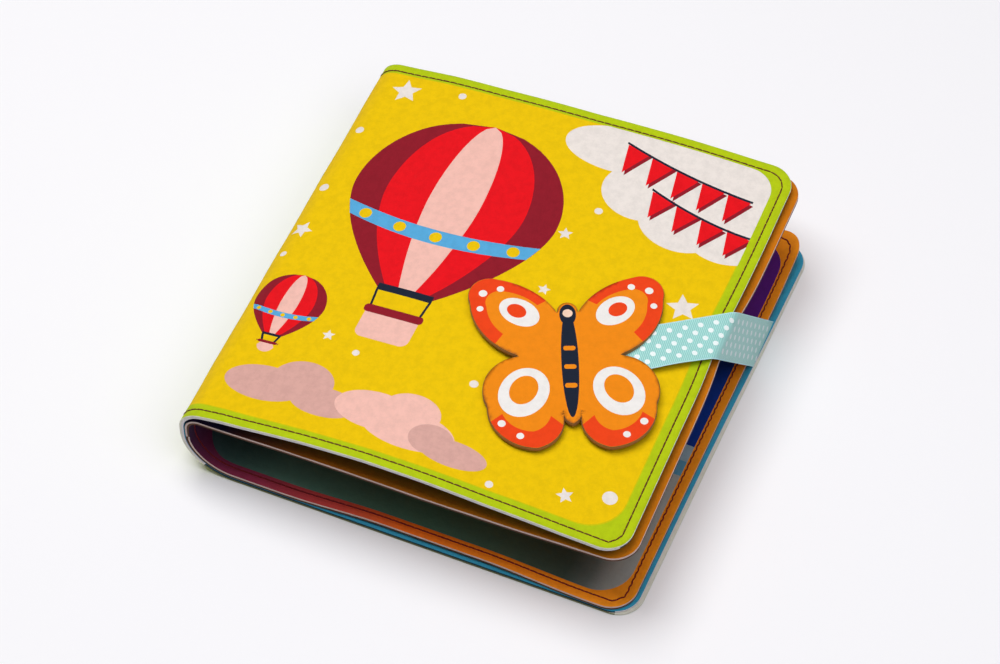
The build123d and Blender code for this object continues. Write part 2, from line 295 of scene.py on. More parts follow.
def seamLine(low, high, inset, cut, corner, deeper=0.0):
    # Corners are cut off at the tail and round at the head; the far half runs deeper in from the edge
    x0, y0, x1, y1 = low[0] + inset, low[1] + inset, high[0] - inset - deeper, high[1] - inset
    middle, tail, head = (x0 + x1) / 2, y0 + deeper, y1 - deeper
    turned = np.radians(np.linspace(0, 90, 9))
    far = np.c_[x1 - corner + corner * np.cos(turned), head - corner + corner * np.sin(turned)]
    near = np.c_[x0 + corner - corner * np.sin(turned), y1 - corner + corner * np.cos(turned)]
    return np.array([
        (x0 + cut, y0), (middle - 15, y0), (middle + 25, tail), (x1 - cut, tail), (x1, tail + cut), *far,
        (middle + 25, head), (middle - 15, y1), *near, (x0, y0 + cut), (x0 + cut, y0)])


def lineDistance(points, line):
    best = np.full(len(points), 1e9)
    along = np.zeros(len(points))
    run = 0.0
    for a, b in zip(line[:-1], line[1:]):
        d = b - a
        length = np.linalg.norm(d)
        t = np.clip((points - a) @ d / length ** 2, 0, 1)
        distance = np.linalg.norm(points - (a + t[:, None] * d), axis=1)
        closer = distance < best
        best[closer] = distance[closer]
        along[closer] = run + t[closer] * length
        run += length
    return best, along


def stitchPlaces(line, pitch):
    runs = np.r_[0, np.cumsum(np.linalg.norm(np.diff(line, axis=0), axis=1))]
    ends = np.linspace(0, runs[-1], int(round(runs[-1] / pitch)) + 1)
    ends = np.c_[np.interp(ends, runs, line[:, 0]), np.interp(ends, runs, line[:, 1])]
    ways = np.diff(ends, axis=0)
    return (ends[:-1] + ends[1:]) / 2, ways / np.linalg.norm(ways, axis=1)[:, None]


# Meshes of felt: two faces cut along the print's shapes, and a rounded cut edge between them

def cutFace(outline, shapes, step, extra=None, field=None):
    # Triangles about a step wide with a kind each, which is 0 outside the polygons of the field
    points, edges = [], []
    for loop in [outline] + [polygon for polygon, _ in shapes]:
        first = len(points)
        points.extend(map(tuple, loop))
        edges.extend((first + i, first + (i + 1) % len(loop)) for i in range(len(loop)))
    fixed = len(points)
    tree = KDTree(fixed + (0 if extra is None else len(extra)))
    for i, p in enumerate(points):
        tree.insert((p[0], p[1], 0), i)
    if extra is not None:
        tree.balance()
        kept = [tuple(p) for p in extra if tree.find((p[0], p[1], 0))[2] > 0.3]    # clear of the outlines
        for i, p in enumerate(kept):
            tree.insert((p[0], p[1], 0), fixed + i)
        points.extend(kept)
    tree.balance()
    low, high = outline.min(0), outline.max(0)
    rows = []
    rowStep = step * math.sqrt(3) / 2
    for j in range(int((high[1] - low[1]) / rowStep) + 1):
        xs = np.arange(low[0] + (j % 2) * step / 2, high[0], step)
        rows.append(np.c_[xs, np.full(len(xs), low[1] + j * rowStep)])
    grid = np.vstack(rows)
    grid = grid[inside(grid, outline)]
    points.extend(tuple(p) for p in grid if tree.find((p[0], p[1], 0))[2] > 0.55 * step)
    verts, _, faces, origins, _, _ = delaunay_2d_cdt([Vector(p) for p in points], edges, [], 0, 1e-5, True)
    verts = np.array([tuple(v) for v in verts])
    faces = np.array([tuple(f) for f in faces])
    rim = np.zeros(len(outline), int)
    for i, origin in enumerate(origins):
        for j in origin:
            if j < len(outline):
                rim[j] = i
    centres = verts[faces].mean(1)
    keep = inside(centres, outline)
    faces, centres = faces[keep], centres[keep]
    a, b, c = verts[faces[:, 0]], verts[faces[:, 1]], verts[faces[:, 2]]
    turned = (b[:, 0] - a[:, 0]) * (c[:, 1] - a[:, 1]) - (b[:, 1] - a[:, 1]) * (c[:, 0] - a[:, 0]) < 0
    faces[turned] = faces[turned][:, ::-1]
    kinds = np.zeros(len(faces), int)
    for polygon, kind in shapes:
        kinds[inside(centres, polygon)] = kind
    if field:
        kinds[~np.any([inside(centres, part) for part in field], axis=0)] = 0
    used, places = np.unique(np.r_[faces.ravel(), rim], return_inverse=True)
    return verts[used], places[:faces.size].reshape(-1, 3), kinds, places[faces.size:]


def makeFelt(name, outlineAt, rings, front, back, toSpace, materials, edgeKind):
    # Each ring of the cut edge is a depth under the front face and an inset from the outline
    verts, faces, kinds, flats, rims = [], [], [], [], []
    total = 0
    for (depth, inset), face, sign in ((rings[0], front, 1), (rings[-1], back, -1)):
        flat, triangles, faceKinds, rim = cutFace(
            outlineAt(inset), face["shapes"], face["step"], face.get("extra"), face.get("field"))
        relief = face["relief"](flat) if "relief" in face else np.zeros(len(flat))
        verts.append(toSpace(flat, -depth + sign * relief))
        flats.append(flat)
        faces.extend((triangles if sign > 0 else triangles[:, ::-1]) + total)
        kinds.extend(np.where(faceKinds == 0, face["kind"], faceKinds))
        rims.append(rim + total)
        total += len(flat)
    loops = [rims[0]]
    for depth, inset in rings[1:-1]:
        flat = outlineAt(inset)
        verts.append(toSpace(flat, np.full(len(flat), -depth)))
        flats.append(flat)
        loops.append(np.arange(len(flat)) + total)
        total += len(flat)
    loops.append(rims[1])
    flatAll = np.vstack(flats)
    for number, (upper, lower) in enumerate(zip(loops[:-1], loops[1:])):
        faces.extend(np.c_[upper, lower, np.roll(lower, -1), np.roll(upper, -1)])
        kinds.extend(edgeKind(number, flatAll[upper, 0]) if callable(edgeKind) else [edgeKind] * len(upper))
    mesh = bpy.data.meshes.new(name)
    mesh.from_pydata((np.vstack(verts) * metre).tolist(), [], [face.tolist() for face in faces])
    mesh.polygons.foreach_set("material_index", [int(kind) for kind in kinds])
    mesh.polygons.foreach_set("use_smooth", [True] * len(faces))
    layer = mesh.uv_layers.new(name="flat")
    loopVerts = np.zeros(len(mesh.loops), int)
    mesh.loops.foreach_get("vertex_index", loopVerts)
    layer.data.foreach_set("uv", (flatAll[loopVerts] * metre).ravel())
    for material in materials:
        mesh.materials.append(material)
    mesh.update()
    piece = bpy.data.objects.new(name, mesh)
    bpy.context.scene.collection.objects.link(piece)
    print(name, total, "points,", len(faces), "faces")
    return piece


# Materials

def setInputs(node, inputs):
    # An input takes a value, or the output of another node, which is linked to it
    for key, value in inputs.items():
        if isinstance(value, bpy.types.NodeSocket):
            node.id_data.links.new(value, node.inputs[key])
        else:
            node.inputs[key].default_value = value


def addNode(tree, kind, inputs=None, **settings):
    node = tree.nodes.new(kind)
    node.location = (220 * len(tree.nodes), 0)
    for key, value in settings.items():
        setattr(node, key, value)
    setInputs(node, inputs or {})
    return node


def newMaterial(name, code):
    material = bpy.data.materials.new(name)
    material.use_nodes = True
    material.diffuse_color = linearColour(code)
    return material, material.node_tree, material.node_tree.nodes["Principled BSDF"]


# Needled polyester felt under flat ink: matt, with a little fuzz at its edges and a clouded, dented face.
# The scales are millimetres on the sheet, and the fibres are drawn about ten times too thick,
# so that they show.
felt = {
    "cloud": 4.2, "fibre": 0.35, "dent": 2.6, "depth": 0.6,
    "cloudRange": (0.40, 0.64), "fibreTint": 0.3, "fibreRelief": 0.35,
    "roughness": 0.95, "sheen": 0.06, "sheenRoughness": 0.6, "specular": 0.08,
}


def feltMaterial(name, code, shade, mottle, bump=0.3, stops=None):
    material, tree, shader = newMaterial(name, code)
    colour = linearColour(code)
    flat = addNode(tree, "ShaderNodeUVMap", uv_map="flat").outputs[0]
    clouds, fibres, dents = (
        addNode(tree, "ShaderNodeTexNoise", {"Vector": flat, "Scale": 1 / (felt[scale] * metre), **more},
                noise_dimensions="2D").outputs[0]
        for scale, more in (("cloud", {"Detail": 7.0, "Roughness": 0.72}),
                            ("fibre", {"Detail": 3.0, "Distortion": 0.6}), ("dent", {"Detail": 3.0})))
    low, high = felt["cloudRange"]
    span = addNode(tree, "ShaderNodeMapRange", {
        "Value": clouds, "From Min": low, "From Max": high, "To Max": mottle})
    darker = addNode(tree, "ShaderNodeMath", {0: fibres, 1: felt["fibreTint"], 2: span.outputs[0]},
                     operation="MULTIPLY_ADD")
    inkAndShade = colour
    if stops:    # colour that changes along the sheet, as a colour for each of some distances: print with painted shade
        last = stops[-1][0]
        split = addNode(tree, "ShaderNodeSeparateXYZ", {0: flat})
        reach = addNode(tree, "ShaderNodeMapRange", {"Value": split.outputs[0], "From Max": last * metre})
        ramp = addNode(tree, "ShaderNodeValToRGB", {0: reach.outputs[0]})
        for i, (at, stopCode) in enumerate(stops):
            stop = ramp.color_ramp.elements[i] if i < 2 else ramp.color_ramp.elements.new(1.0)
            stop.position = at / last
            stop.color = linearColour(stopCode)
        inkAndShade = ramp.outputs[0]
    printed = addNode(tree, "ShaderNodeMix", {0: darker.outputs[0], 6: inkAndShade, 7: [shade, shade, shade, 1.0]},
                      data_type="RGBA", blend_type="MULTIPLY")
    height = addNode(tree, "ShaderNodeMath", {0: fibres, 1: felt["fibreRelief"], 2: dents},
                     operation="MULTIPLY_ADD")
    lumps = addNode(tree, "ShaderNodeBump",
                    {"Strength": bump, "Distance": felt["depth"] * metre, "Height": height.outputs[0]})
    setInputs(shader, {
        "Base Color": printed.outputs[2], "Normal": lumps.outputs[0], "Roughness": felt["roughness"],
        "Sheen Weight": felt["sheen"], "Sheen Roughness": felt["sheenRoughness"],
        "Sheen Tint": [min(1, c * 0.5 + 0.5) for c in colour[:3]] + [1.0],
        "Specular IOR Level": felt["specular"]})
    return material


def plainMaterial(name, code, roughness=0.8):
    material, tree, shader = newMaterial(name, code)
    setInputs(shader, {"Base Color": linearColour(code), "Roughness": roughness, "Specular IOR Level": 0.2})
    return material


def twoTone(name, code, other, grain, roughness=0.8, bump=0.0):
    # Spun or looped fibre: two shades that change over a grain in millimetres
    material = plainMaterial(name, code, roughness)
    tree = material.node_tree
    place = addNode(tree, "ShaderNodeTexCoord")
    noise = addNode(tree, "ShaderNodeTexNoise",
                    {"Vector": place.outputs["Object"], "Scale": 1 / (grain * metre), "Detail": 2.0})
    span = addNode(tree, "ShaderNodeMapRange", {
        "Value": noise.outputs[0], "From Min": 0.35, "From Max": 0.65})
    blend = addNode(tree, "ShaderNodeMix",
                    {0: span.outputs[0], 6: linearColour(code), 7: linearColour(other)},
                    data_type="RGBA")
    lumps = addNode(tree, "ShaderNodeBump", {
        "Strength": bump, "Distance": grain * metre, "Height": noise.outputs[0]})
    setInputs(tree.nodes["Principled BSDF"], {"Base Color": blend.outputs[2], "Normal": lumps.outputs[0]})
    return material


# What repeats: one stitch or dot, set along a seam or over a face by geometry nodes

def makeUnit(name, points, faces, smoothed=True):
    mesh = bpy.data.meshes.new(name)
    mesh.from_pydata([(x * metre, y * metre, z * metre) for x, y, z in points], [], faces)
    mesh.polygons.foreach_set("use_smooth", [smoothed] * len(faces))
    unit = bpy.data.objects.new(name, mesh)
    bpy.context.scene.collection.objects.link(unit)
    return unit


def makeStitch(name, length, width, sides=7, rings=9):
    points, faces = [], []
    for i in range(rings + 1):
        t = i / rings * 2 - 1
        size = width / 2 * max(0.3, 1 - abs(t) ** 6) ** 0.5
        lift = -0.35 * width * abs(t) ** 4    # the ends dip into the felt
        for j in range(sides):
            angle = 2 * math.pi * j / sides
            points.append((t * length / 2, size * math.cos(angle), lift + size * math.sin(angle)))
    for i in range(rings):
        for j in range(sides):
            k = (j + 1) % sides
            faces.append((i * sides + j, i * sides + k, (i + 1) * sides + k, (i + 1) * sides + j))
    faces.append(tuple(range(sides))[::-1])
    faces.append(tuple(rings * sides + j for j in range(sides)))
    return makeUnit(name, points, faces)


def repeatOn(name, points, along, outward, unit, material):
    mesh = bpy.data.meshes.new(name)
    mesh.from_pydata([tuple(p) for p in points * metre], [], [])
    for key, values in (("along", along), ("outward", outward)):
        mesh.attributes.new(key, "FLOAT_VECTOR", "POINT").data.foreach_set(
            "vector", values.astype(np.float32).ravel())
    piece = bpy.data.objects.new(name, mesh)
    bpy.context.scene.collection.objects.link(piece)
    tree = bpy.data.node_groups.new(name, "GeometryNodeTree")
    tree.interface.new_socket("Geometry", in_out="INPUT", socket_type="NodeSocketGeometry")
    unitSocket = tree.interface.new_socket("Unit", in_out="INPUT", socket_type="NodeSocketObject")
    sizeSocket = tree.interface.new_socket("Size", in_out="INPUT", socket_type="NodeSocketFloat")
    tree.interface.new_socket("Geometry", in_out="OUTPUT", socket_type="NodeSocketGeometry")
    start = addNode(tree, "NodeGroupInput")
    info = addNode(tree, "GeometryNodeObjectInfo", {"Object": start.outputs["Unit"]})
    alongWay, outWay = (
        addNode(tree, "GeometryNodeInputNamedAttribute", {"Name": key}, data_type="FLOAT_VECTOR")
        for key in ("along", "outward"))
    first = addNode(tree, "FunctionNodeAlignRotationToVector",
                    {"Vector": alongWay.outputs["Attribute"]}, axis="X")
    second = addNode(tree, "FunctionNodeAlignRotationToVector",
                     {"Rotation": first.outputs[0], "Vector": outWay.outputs["Attribute"]},
                     axis="Z", pivot_axis="X")
    instance = addNode(tree, "GeometryNodeInstanceOnPoints", {
        "Points": start.outputs["Geometry"], "Instance": info.outputs["Geometry"],
        "Rotation": second.outputs[0],
        "Scale": start.outputs["Size"]})
    realize = addNode(tree, "GeometryNodeRealizeInstances", {0: instance.outputs[0]})
    paint = addNode(tree, "GeometryNodeSetMaterial", {0: realize.outputs[0], "Material": material})
    addNode(tree, "NodeGroupOutput", {0: paint.outputs[0]})
    modifier = piece.modifiers.new("repeat", "NODES")
    modifier.node_group = tree
    modifier[unitSocket.identifier] = unit
    modifier[sizeSocket.identifier] = 1.0
    bpy.context.view_layer.update()
    made = bpy.data.meshes.new_from_object(piece.evaluated_get(bpy.context.evaluated_depsgraph_get()))
    piece.modifiers.remove(modifier)
    piece.data = made
    made.name = name
    print(name, len(made.polygons), "faces")
    return piece


# Cover: outer sheet, printed

inks = {
    "green": "#B4C812", "yellow": "#ECC303", "cream": "#EAE1D9", "red": "#E8121C", "crimson": "#8E1A28",
    "blush": "#F2BEB0", "mauve": "#D8A79C", "sky": "#58A9D8", "navy": "#1B2333", "lime": "#CFC30A",
    # The olive edge is painted shade on the back cover's cut edge near the floor, partly its own duller
    # colour
    "edge": "#E2E0D0", "shaded olive edge": "#7C7E58",
}
kindOf = {name: number for number, name in enumerate(inks)}
outerMaterials = [feltMaterial(name + " printed felt", code, 0.82, 0.5) for name, code in inks.items()]

# The print, back to front, in x and y on the closed cover
coverPrint = {
    # Middle and half widths of each round of the cloud
    "cloud": [(10, 84, 23, 12), (27, 66, 17, 15), (47, 57, 18, 15), (66, 56, 17, 13)],
    "cloudCorner": [(6, 84), (6, 101), (92, 101), (92, 47), (62, 46), (30, 62)],
    "pennants": [((12, 89), (70, 78), 5, 14.5), ((30, 69), (76, 60), 4, 13.0)],    # two ends, count and drop
    "pennantWidth": 10.5, "pennantShadow": (1.3, -1.1),
    "puffs": [("mauve", [(-76, -77, 17, 8.5), (-62, -72, 13, 10), (-50, -79, 14, 7)]),
              ("blush", [(-29, -76, 17, 9), (-14, -80, 19, 9), (-16, -72, 12, 9)]),
              ("mauve", [(6, -84, 14, 6), (-4, -81, 9, 7)])],
    "balloons": [(-42, 34, 44), (-84, -36, 15)],    # middle and radius
    "stars": [(-86, 86, 6.6, 12), (-96, 2, 4.6, -20), (6, 34, 3.2, 15), (63, 17, 6.8, 22), (9, 4, 2.8, 0),
              (-62, -47, 2.8, 10), (52, -84, 3.6, 30), (-8, 86, 3.0, 5)],    # middle, radius and turn
    "dots": [(-97, 26, 2.0), (-98, -12, 1.4), (68, -78, 3.0), (24, -91, 1.6), (1, -50, 1.8), (-62, 90, 1.7),
             (14, 50, 1.7), (-96, 60, 1.8), (-48, -52, 1.5)],
    # The yellow field inside the green border
    "spineGap": 7.5, "edgeGap": 7.4, "tail": -94.1, "head": 94.6,
    "tailCorner": 15.5, "headCorner": 11.5, "tailBow": 0.9, "spineDrop": 1.1, "limeLine": 0.45,
}


def onCover(shape):
    return np.c_[runOfX(shape[:, 0]), shape[:, 1]]


def balloonShapes(cx, cy, radius, shapes):
    # The envelope's heights and widths are shares of its radius
    bottom, bandLow, bandHigh, bandSag = -1.18, -0.42, -0.25, 0.12
    heights = np.linspace(bottom, 1.0, 46)

    def halfWidth(t):
        dome = np.sqrt(np.clip(1 - np.clip(t, 0, 1) ** 2, 0, 1))
        taper = 1 - 0.74 * (np.clip(-t, 0, -bottom) / -bottom) ** 1.75
        return radius * np.where(t >= 0, dome, taper)

    ys, widths = cy + heights * radius, halfWidth(heights)
    for share, kind in ((1, "crimson"), (0.68, "red"), (0.25, "blush")):
        shapes.append((
            np.vstack([np.c_[cx + share * widths, ys], np.c_[cx - share * widths, ys][::-1]]), kind))
    across = np.linspace(-1, 1, 25)
    lower, upper = (np.c_[cx + across * halfWidth(t), cy + radius * (t - bandSag * (1 - across ** 2))]
                    for t in (bandLow, bandHigh))
    shapes.append((np.vstack([lower, upper[::-1]]), "sky"))
    for t in (-0.8 + 0.4 * i for i in range(5)):
        spot = (cx + t * halfWidth(-0.33), cy + radius * (-0.335 - bandSag * (1 - t * t)))
        shapes.append((ellipse(*spot, 0.06 * radius, 0.06 * radius, count=20), "yellow"))
    mouth, neck, neckTop, ropeEnd = radius * 0.27, cy - 1.2 * radius, cy - 1.12 * radius, cy - 1.42 * radius
    collar = [(cx - mouth, neck), (cx + mouth, neck), (cx + mouth, neckTop), (cx - mouth, neckTop)]
    shapes.append((np.array(collar), "navy"))
    rope = [(mouth - 1.0, neck), (mouth, neck), (mouth - 1.0, ropeEnd), (mouth - 2.0, ropeEnd)]
    for side in (-1, 1):
        shapes.append((np.array([(cx + side * x, y) for x, y in rope]), "navy"))
    half = mouth - 0.5
    basket = (cx - half, cy - 1.76 * radius), (cx + half, cy - 1.4 * radius)
    rim = (cx - half - 1.2, cy - 1.47 * radius), (cx + half + 1.2, cy - 1.38 * radius)
    shapes.append((roundedRectangle(*basket, 3.5), "blush"))
    shapes.append((roundedRectangle(*rim, 1.6), "crimson"))


def pennants(start, end, count, drop, shapes):
    a, b = np.array(start, float), np.array(end, float)
    way = (b - a) / np.linalg.norm(b - a)
    side = np.array((way[1], -way[0]))
    shares = [(i + 0.5) / count for i in range(count)]
    spots = [a + (b - a) * t - (0, 2.2 * (1 - (2 * t - 1) ** 2)) for t in shares]    # on the sagging string
    t = np.linspace(0, 1, 21)
    string = a + (b - a) * t[:, None] - np.c_[np.zeros(21), 2.4 * (1 - (2 * t - 1) ** 2)]
    halfWay = way * coverPrint["pennantWidth"] / 2
    for shift, kind in ((np.array(coverPrint["pennantShadow"]), "crimson"), (np.zeros(2), "red")):
        for spot in spots:
            flag = np.array([spot - halfWay, spot + halfWay, spot + side * drop])
            shapes.append((flag + shift, kind))
    shapes.append((np.vstack([string + (0, 0.55), string[::-1] - (0, 0.55)]), "navy"))


front = [(ellipse(*spot, count=48), "cream") for spot in coverPrint["cloud"]]
front.append((np.array(coverPrint["cloudCorner"]), "cream"))
for row in coverPrint["pennants"]:
    pennants(*row, front)
for kind, spots in coverPrint["puffs"]:
    front += [(ellipse(*spot, count=48), kind) for spot in spots]
for place in coverPrint["balloons"]:
    balloonShapes(*place, front)
front += [(star(*place), "cream") for place in coverPrint["stars"]]
front += [(ellipse(cx, cy, radius, radius, count=20), "cream") for cx, cy, radius in coverPrint["dots"]]

outlineLow, outlineHigh = (0.0, -cover["height"] / 2), (coverPath["length"], cover["height"] / 2)
liningLow = (cover["lip"] + cover["liningBack"], outlineLow[1])
coverSeam = seamLine(liningLow, outlineHigh, cover["seamInset"], cover["seamCut"], cover["seamRound"])
shadedEdgeStretch = (8, foldRun - 24)    # where the back cover's cut edges are painted dark: painted shade near the floor, partly their own duller colour
outlineStep = 1.4


def coverOutline(inset):
    return roundedRectangle(outlineLow, outlineHigh, cover["corner"], outlineStep, inset)


def liningOutline(inset):
    outline = roundedRectangle(liningLow, outlineHigh, cover["corner"], outlineStep, inset)
    outline[:, 0] -= 0.8 * smooth(outline[:, 1], -60, 80) * (1 - smooth(outline[:, 0], 0, 60))
    return outline


def coverEdge(ring, runs):
    # Painted shade: the outer felt's cut edge is painted olive along the back cover
    dark = (runs > shadedEdgeStretch[0]) & (runs < shadedEdgeStretch[1])
    return np.where(dark, kindOf["shaded olive edge"], kindOf["edge"])


def liningEdge(ring, runs):
    # Painted shade: the lining's cut edge is painted dark blue along the back cover and at the front cover's
    # fore-edge, partly its own darker colour
    dark = (runs > shadedEdgeStretch[0]) & (runs < shadedEdgeStretch[1])
    return np.where(dark | (runs > outlineHigh[0] - 3), 2, 1)


def besideSeam(line, offsets=(-1.6, -0.8, 0, 0.8, 1.6), step=1.1):
    # Mesh points in rows beside a seam, for its dent
    spots = []
    for a, b in zip(line[:-1], line[1:]):
        way = (b - a) / np.linalg.norm(b - a)
        side = np.array([-way[1], way[0]])
        for distance in np.arange(step / 2, np.linalg.norm(b - a), step):
            spots.extend(a + way * distance + side * o for o in offsets)
    return np.array(spots)


def seamRelief(line, pitch=cover["pitch"], deep=0.3):
    # The seam's dent, puckered at each stitch, and the felt's own low lumps
    def relief(flat):
        distance, along = lineDistance(flat, line)
        pucker = swell(distance, 0, 1.8) * np.cos(2 * math.pi * along / pitch)
        x, y = flat.T
        lumps = np.sin(x / 9.1 + np.sin(y / 13)) * np.sin(y / 7.7 + np.sin(x / 11))
        return -deep * swell(distance, 0, 0.95) - 0.07 * pucker + 0.1 * lumps * smooth(distance, 1, 6)
    return relief


def onCoverSheet(flat, out):
    return onPath(coverPath, flat[:, 0], flat[:, 1], out) + settleCover(flat[:, 0], flat[:, 1])


def coverField(grow):
    p = coverPrint
    near, far = foldRun + p["spineGap"] - grow, coverPath["length"] - p["edgeGap"] + grow
    low, high = p["tail"] - grow, p["head"] + grow
    tailRadius, headRadius = p["tailCorner"], p["headCorner"]
    corners = []
    for cx, cy, radius, start in ((far - tailRadius, low + tailRadius + p["tailBow"], tailRadius, 270),
                                  (far - headRadius, high - headRadius, headRadius, 0)):
        turned = np.radians(np.linspace(start, start + 90, 19))
        corners.append(np.c_[cx + radius * np.cos(turned), cy + radius * np.sin(turned)])
    t = np.linspace(0.03, 0.95, 20)
    spine = np.array([(near, high), (near, low + p["spineDrop"])])
    bowed = np.c_[near + (far - tailRadius - near) * t,
                  low + p["tailBow"] * t ** 2 + p["spineDrop"] * (1 - t) ** 6]
    return resample(np.vstack([spine, bowed, *corners]), 1.6)


limeField, yellowField = coverField(coverPrint["limeLine"]), coverField(0.0)
backField = roundedRectangle((8.0, -93.0), (foldRun - 26, 93.0), 12)
printed = [(limeField, kindOf["lime"]), (yellowField, kindOf["yellow"]), (backField, kindOf["yellow"])]
printed += [(onCover(resample(polygon, 1.6)), kindOf[kind]) for polygon, kind in front]
sheet = cover["sheet"]
coverSewn = {"relief": seamRelief(coverSeam), "extra": besideSeam(coverSeam)}
coverOuter = makeFelt(
    "cover_outer_felt", coverOutline,
    [(0.0, 0.16), (0.14, 0.03), (sheet / 2, 0.0), (sheet - 0.1, 0.05), (sheet, 0.14)],
    {"shapes": printed, "step": 1.9, "kind": kindOf["green"], "field": (limeField, backField), **coverSewn},
    {"shapes": [], "step": 6.0, "kind": kindOf["edge"]},
    onCoverSheet, outerMaterials, coverEdge)

# Cover: lining

liningMaterials = [
    feltMaterial("blue printed felt", "#3C9EC0", 0.8, 0.5),
    feltMaterial("pale lining edge", "#DEDADA", 0.88, 0.4),
    # Dark blue: painted shade on the lining's cut edge
    feltMaterial("shaded blue lining edge", "#1E3A44", 0.85, 0.4),
]
coverLining = makeFelt(
    "cover_lining_felt", liningOutline,
    [(sheet, 0.14), (sheet + 0.1, 0.05), (sheet * 1.5, 0.0), (2 * sheet - 0.14, 0.03), (2 * sheet, 0.16)],
    {"shapes": [], "step": 6.0, "kind": 1},
    {"shapes": [], "step": 3.0, "kind": 0, **coverSewn},
    onCoverSheet, liningMaterials, liningEdge)

# Inner pages

leafLow, leafHigh = (0.0, -leaf["height"] / 2), (leafPath["length"], leaf["height"] / 2)
leafSeam = seamLine(leafLow, leafHigh, cover["seamInset"], cover["seamCut"], cover["seamRound"],
                    leaf["seamDeeper"])
# Distances from the lower leaf's edge, round the fold, with the colour there: the orange border print,
# brightest at the lower leaf's fore-edge and painted darker through maroon and purple to near black
# at the fold as painted shade, the purple there partly the print inside the fold
borderInkAndShadeStops = [(0, "#FF9C20"), (60, "#FA8A1E"), (95, "#F4701F"), (123, "#CC483E"), (160, "#92304A"),
               (198, "#34163C"), (224, "#140C26"), (262, "#9A5008"), (402, "#D07810")]
# The grey field's colour by the same distances: painted shade, light at the lower leaf's fore-edge, darker a
# little way in under the upper leaf, and darkest at the fold
fieldShadeStops = [(0, "#AEB4B0"), (12, "#9CA4A0"), (20, "#667470"), (29, "#465A50"), (52, "#4E6C5A"),
              (90, "#52806A"), (150, "#5E8876"), (190, "#26323C")]
pageMaterials = [
    feltMaterial("orange printed felt with painted shade", "#D47810", 0.8, 0.5, stops=borderInkAndShadeStops),
    feltMaterial("purple printed felt", "#5C2088", 0.8, 0.4),
    feltMaterial("dark blue printed felt", "#0C348E", 0.8, 0.4),
    feltMaterial("grey blue printed felt", "#93AEBB", 0.85, 0.4),
    feltMaterial("mid blue printed felt", "#5C9AB8", 0.85, 0.4),
    feltMaterial("grey printed felt with painted shade", "#84928C", 0.85, 0.4, stops=fieldShadeStops),
    feltMaterial("mauve cut felt edge", "#D2BAB0", 0.85, 0.5),
    # Dark brown: painted shade on the lower half of each leaf's cut edge
    feltMaterial("shaded brown cut felt edge", "#5E4234", 0.8, 0.5),
]
half = leafPath["length"] / 2


def leafEdge(ring, runs):
    # The first four strips belong to the outer felt; the upper felt of each leaf is cut mauve,
    # and the lower one is painted dark brown as shade, where it faces the dark gap below it
    return np.where((ring < 4) == (runs > half), 6, 7)


def leafOutline(inset):
    return roundedRectangle(leafLow, leafHigh, leaf["corner"], outlineStep, inset)


def onLeaf(flat, out):
    return onPath(leafPath, flat[:, 0], flat[:, 1], out) + settleLeaf(flat[:, 0], flat[:, 1])


low, high = -leaf["height"] / 2 + leaf["border"], leaf["height"] / 2 - leaf["border"]
lowerField = roundedRectangle((0.0, low - 1.2), (half - 8, high - 0.5), 14)
lowerField[:, 0] += (np.interp(lowerField[:, 1], [-84, 8], [4.9, 4.6])
                     * (1 - smooth(lowerField[:, 0], 0, half - 60)))
upperField = roundedRectangle((half + 18, low), (leafPath["length"] - leaf["border"], high), 12)
lowerShapes = [(lowerField, 5)]
for bottom, top, reach, kind in ((29.0, 104, half - 9, 1), (-15.7, 29.0, half - 9, 2),
                                 (-23.7, -15.7, 34, 3), (-31.0, -23.7, 34, 4)):
    lowerShapes.append((np.array([(0.2, bottom), (reach, bottom), (reach, top), (0.2, top)]), kind))
pageSewn = {"kind": 0, "relief": seamRelief(leafSeam), "extra": besideSeam(leafSeam)}
outsideShapes, insideShapes = ([(resample(polygon, 3.0), kind) for polygon, kind in shapes]
                               for shapes in ([(lowerField, 5), (upperField, 3)], lowerShapes))
thick = leaf["thickness"]
pages = makeFelt(
    "inner_pages_felt", leafOutline,
    [(0.0, 0.16), (0.12, 0.03), (0.45, 0.0), (0.8, 0.06), (0.9, 0.2), (1.0, 0.06), (1.35, 0.0),
     (thick - 0.12, 0.03), (thick, 0.16)],
    {"shapes": outsideShapes, "step": 2.6, **pageSewn},
    {"shapes": insideShapes, "step": 2.4, "field": (lowerField,), **pageSewn},
    onLeaf, pageMaterials, leafEdge)

# Seams: spun polyester thread with a dull shine, each stitch as long as it shows between two holes

seams = {"stitch": 3.3, "pageStitch": 1.95, "width": 0.62, "pagePitch": 1.65, "pageSlant": 15, "proud": 0.17}
brownThread = twoTone("dark brown thread", "#6A3014", "#4A200E", 0.25, 0.6, 0.3)
redThread = twoTone("dark red thread", "#7A0E14", "#54080E", 0.25, 0.6, 0.3)
coverStitch = makeStitch("stitch_unit_cover", seams["stitch"], seams["width"])
pageStitch = makeStitch("stitch_unit_pages", seams["pageStitch"], seams["width"])


def faceWays(toSpace, flat, height, ahead, across, reach):
    # Where flat points lie in space, the way ahead there, and the way out of the felt
    middle = toSpace(flat, height)
    along = toSpace(flat + ahead * reach, height) - toSpace(flat - ahead * reach, height)
    beside = toSpace(flat + across * reach, height) - toSpace(flat - across * reach, height)
    outward = np.cross(along, beside)
    outward *= np.sign(np.sum(outward * (toSpace(flat, height + 1) - middle), axis=1))[:, None]
    return middle, *(way / np.linalg.norm(way, axis=1)[:, None] for way in (along, outward))


